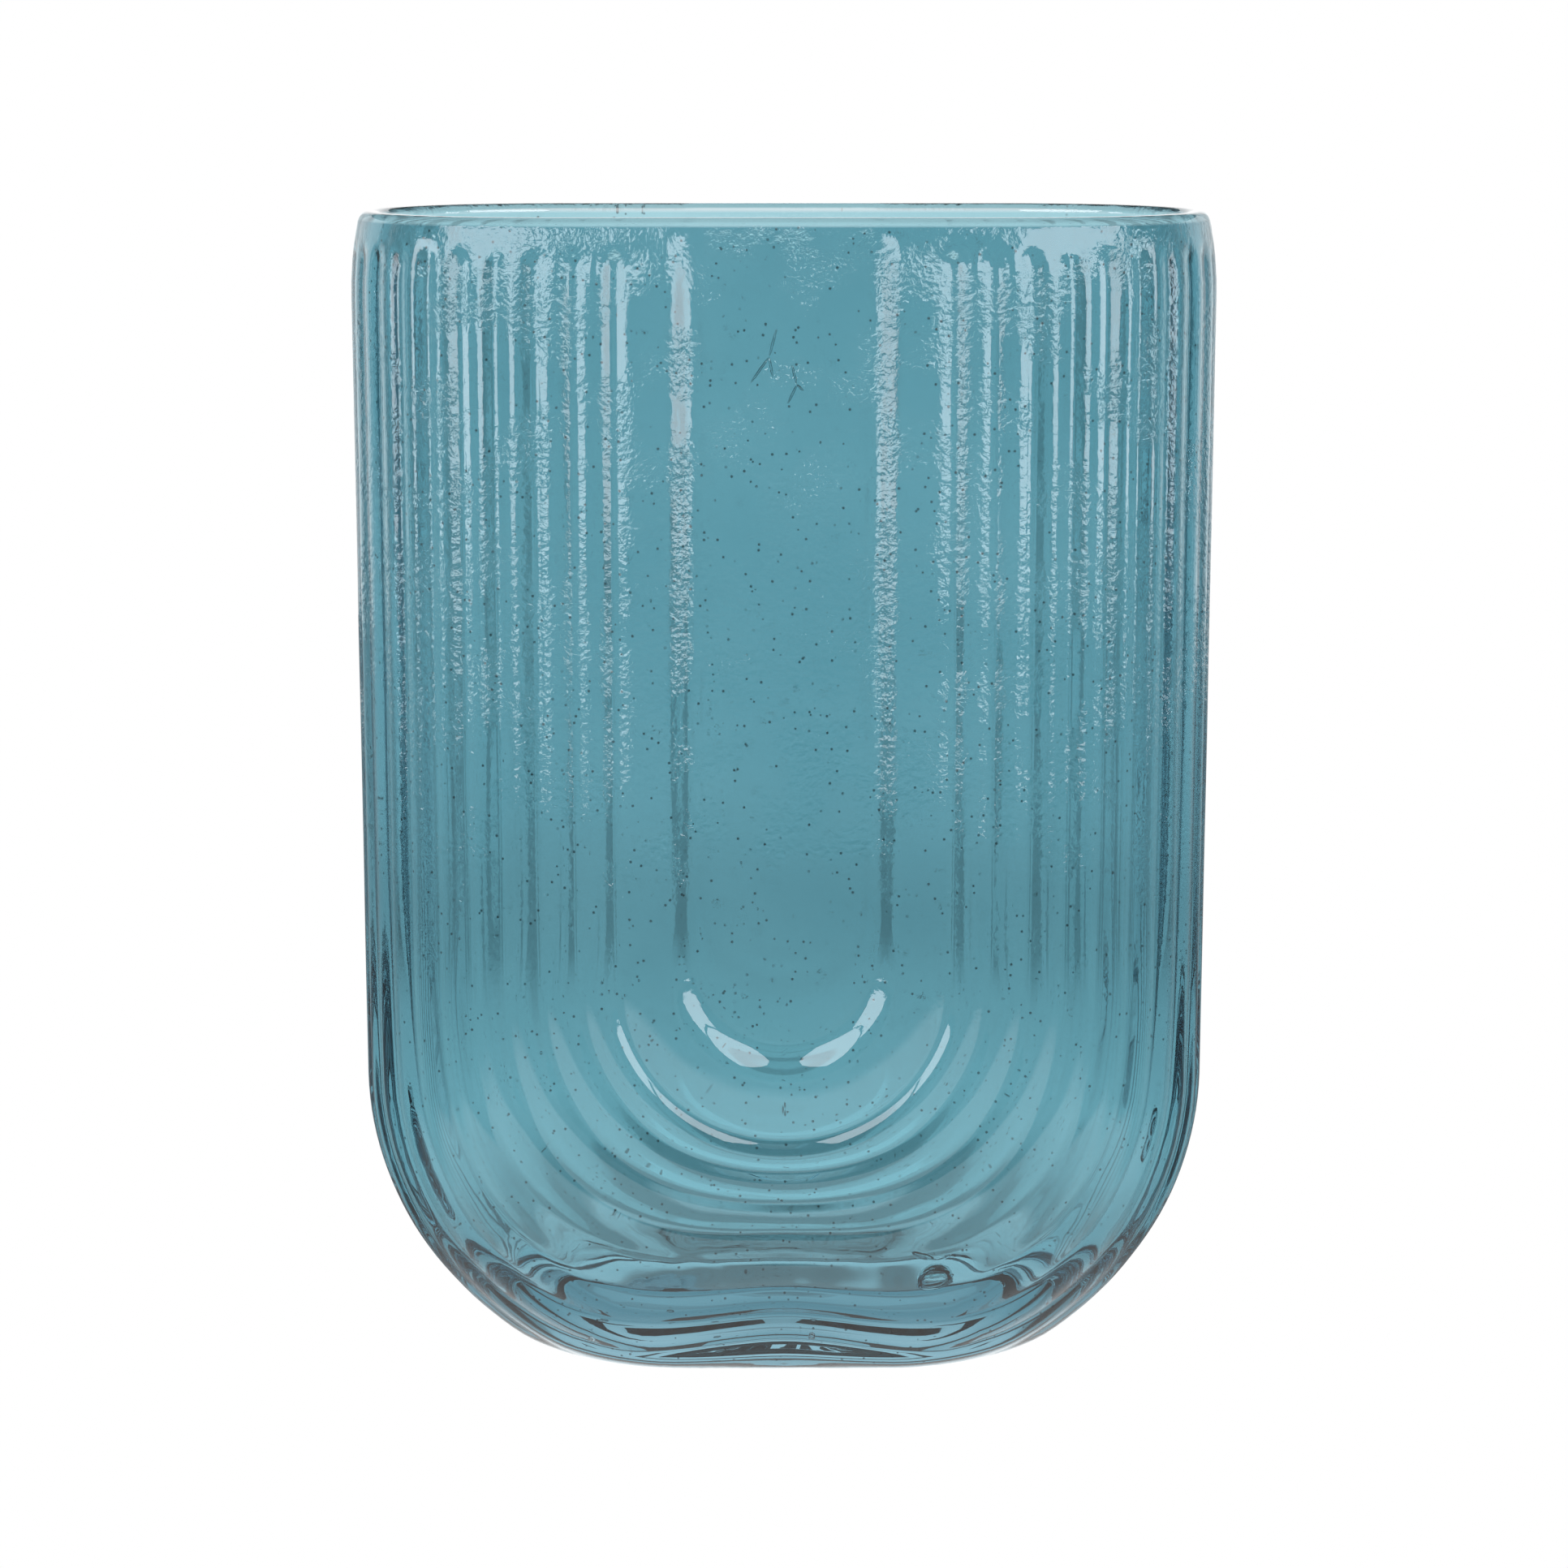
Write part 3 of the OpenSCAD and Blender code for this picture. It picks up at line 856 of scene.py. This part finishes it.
floor_corners = [(sx * FLOOR_HALF, sy * FLOOR_HALF, FLOOR_Z)
                 for sx, sy in ((-1, -1), (1, -1), (1, 1), (-1, 1))]
stage_sheet("floor", floor_corners, even_white("floor_white", (1, 1, 1), 1.0), "direct")
paper = painted_studio_light("painted_studio_light")
stage_sheet("paper", disc(FLOOR_Z), paper, "through")
stage_sheet("table", disc(TABLE_Z), painted_studio_light("painted_table_light", True), "mirror")
for k in range(SIDES):
    left, right = 360 / SIDES * k, 360 / SIDES * (k + 1)
    stage_sheet("backdrop_%d" % k,
                [polar(REAR, left, FLOOR_Z), polar(REAR, right, FLOOR_Z),
                 polar(REAR, right, WALL_TOP), polar(REAR, left, WALL_TOP)],
                paper, "mirror through" if k in MIRRORED_SIDES else "through")
softbox_white = even_white("softbox_white", (1, 1, 1.04), SOFTBOX_GLOW)
for side, sign in (("left", -1), ("right", 1)):
    for part, *corners in SOFTBOXES:
        stage_sheet("softbox_%s_%s" % (part, side),
                    [polar(SOFTBOX_R, sign * azimuth, z) for azimuth, z in corners],
                    softbox_white, "mirror")


def studio_world():
    """White where the camera looks past the stage, and nearly dark for all other rays."""
    world = bpy.data.worlds.new("studio")
    world.use_nodes = True
    tree = world.node_tree
    dusk = tree.nodes["Background"]
    dusk.inputs["Strength"].default_value = DUSK
    dusk.inputs["Color"].default_value = (1, 1, 1, 1)
    day = tree.nodes.new("ShaderNodeBackground")
    day.inputs["Color"].default_value = (1, 1, 1, 1)
    ray_kind = tree.nodes.new("ShaderNodeLightPath")
    either = tree.nodes.new("ShaderNodeMixShader")
    tree.links.new(ray_kind.outputs["Is Camera Ray"], either.inputs[0])
    tree.links.new(dusk.outputs[0], either.inputs[1])
    tree.links.new(day.outputs[0], either.inputs[2])
    tree.links.new(either.outputs[0], tree.nodes["World Output"].inputs["Surface"])
    return world


# The camera is the one fitted to the photograph, in metres, degrees and mm of lens
CAMERA_AT, CAMERA_DOWN, LENS, SENSOR = (0, -1.0, 0.2387), 7.912, 132.1, 36
BOUNCES, GLOSSY_BOUNCES, DIFFUSE_BOUNCES = 28, 10, 2

scene = bpy.context.scene
scene.world = studio_world()
camera_data = bpy.data.cameras.new("camera")
camera_data.sensor_width = SENSOR
camera_data.lens = LENS
camera = bpy.data.objects.new("camera", camera_data)
camera.location = CAMERA_AT
camera.rotation_euler = (math.radians(90 - CAMERA_DOWN), 0, 0)
scene.collection.objects.link(camera)
scene.camera = camera
scene.view_settings.view_transform = "Standard"
scene.cycles.max_bounces = BOUNCES
scene.cycles.transmission_bounces = BOUNCES
scene.cycles.glossy_bounces = GLOSSY_BOUNCES
scene.cycles.diffuse_bounces = DIFFUSE_BOUNCES
